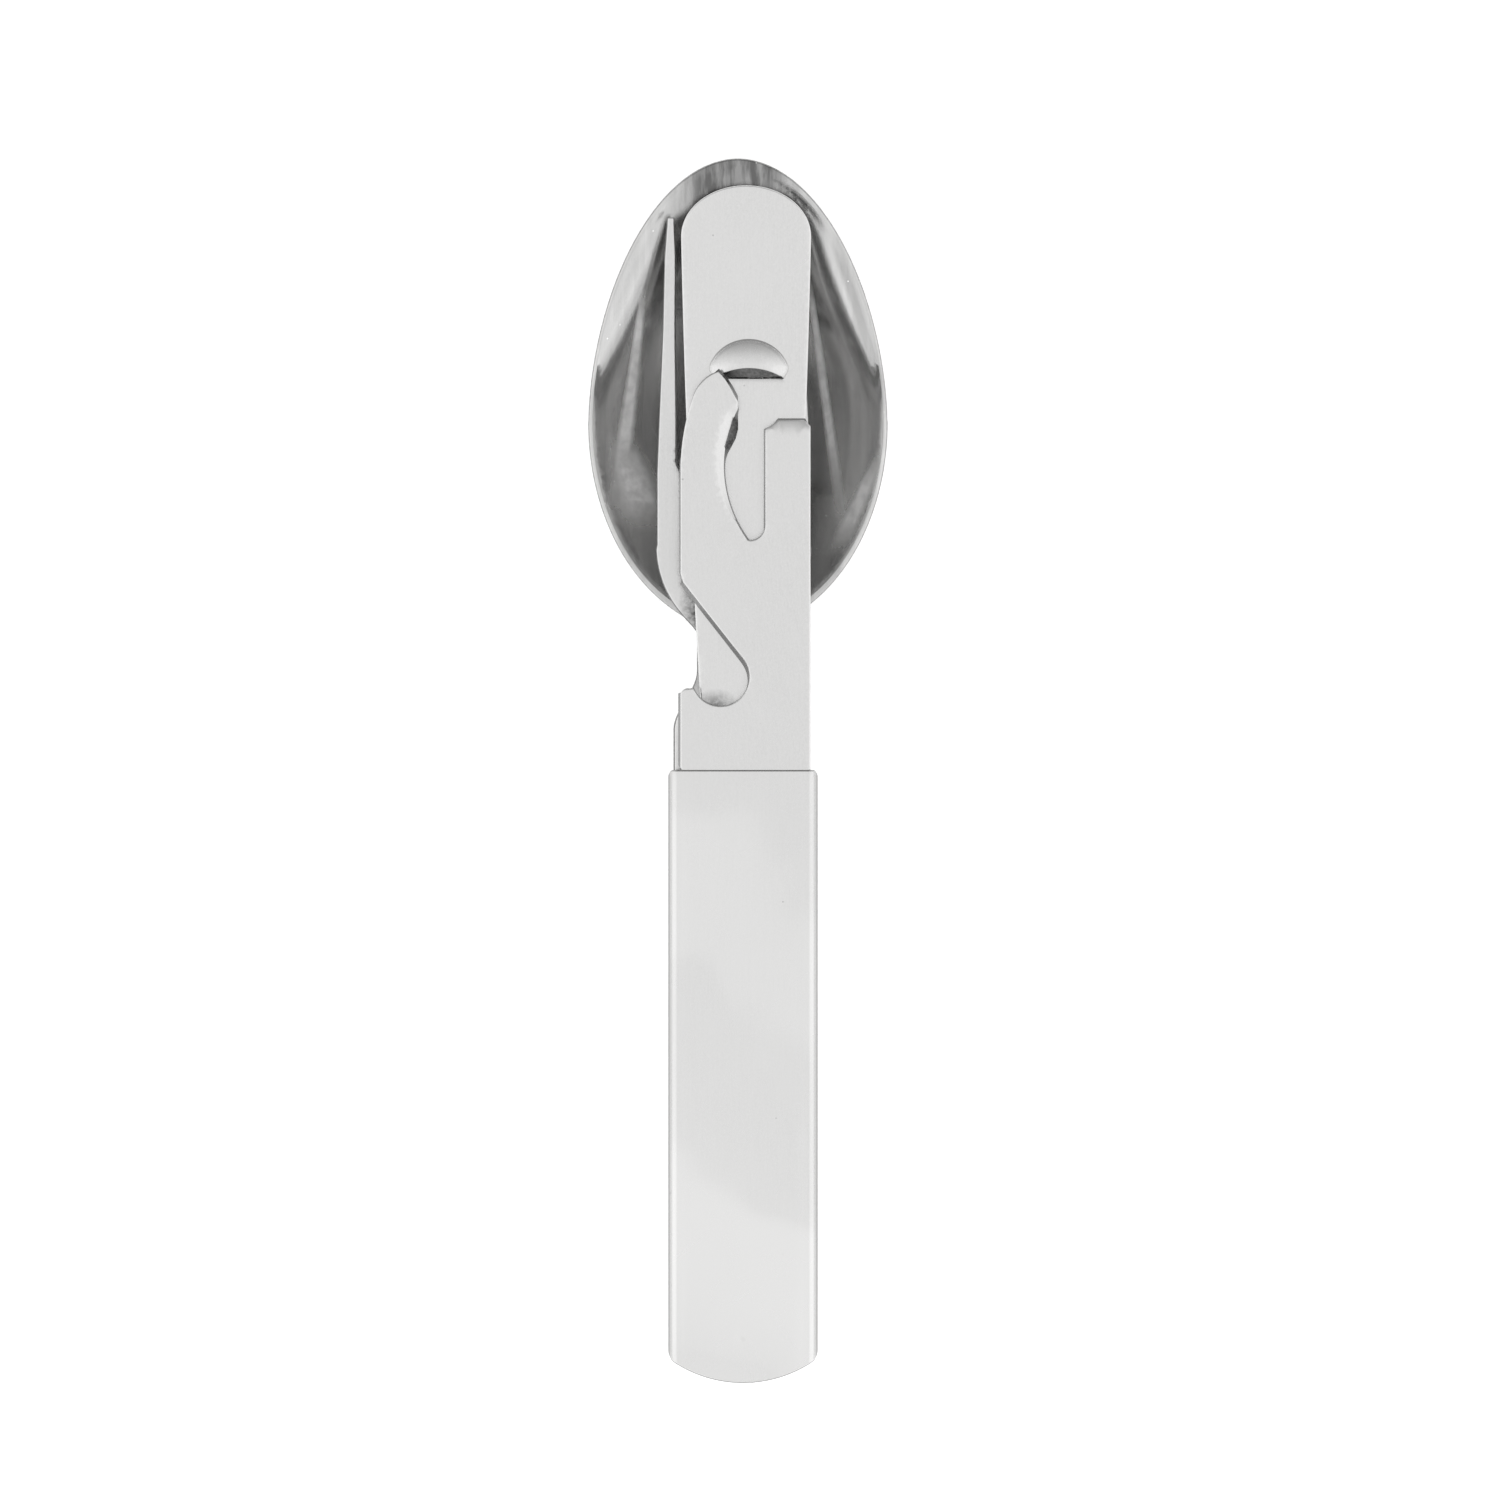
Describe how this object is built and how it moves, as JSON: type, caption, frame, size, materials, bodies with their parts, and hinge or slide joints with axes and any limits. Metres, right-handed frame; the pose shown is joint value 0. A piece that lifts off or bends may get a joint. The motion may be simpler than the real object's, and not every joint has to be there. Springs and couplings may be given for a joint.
{
  "type": "nested mess cutlery set",
  "caption": "Nested stainless mess cutlery: spoon, fork and knife handles slide into a folded sheet sleeve that carries a can and bottle opener plate.",
  "frame": {"origin": "on the lowest point of the bowl, at the mouth of the sleeve, on the sleeve's centre plane", "axes": "+Y from the sleeve's tail towards the bowl's nose, +Z from the bowl towards the opener plate and the sleeve's web, +X to the right seen from the opener side"},
  "size_m": [0.0441, 0.18, 0.0191],
  "materials": {
    "sheet_steel": "satin rolled sheet, tumbled edges",
    "plate_steel": "satin tumbled plate with ground edges",
    "knife_steel": "satin tumbled",
    "fork_steel": "satin tumbled",
    "spoon_steel": "polished bowl with fine drawing lines, satin handle"
  },
  "bodies": {
    "holder": {"sleeve": "sheet_steel", "opener_plate": "plate_steel"},
    "knife": {"knife": "knife_steel"},
    "spoon": {"spoon": "spoon_steel"},
    "fork": {"fork": "fork_steel"}
  },
  "joints": [
    {"name": "knife_slide", "type": "slide", "parent": "holder", "child": "knife", "axis": [0, 1, 0], "range_m": [0, 0.09]},
    {"name": "spoon_slide", "type": "slide", "parent": "holder", "child": "spoon", "axis": [0, 1, 0], "range_m": [0, 0.09]},
    {"name": "fork_slide", "type": "slide", "parent": "spoon", "child": "fork", "axis": [0, 1, 0], "range_m": [0, 0.09]}
  ]
}
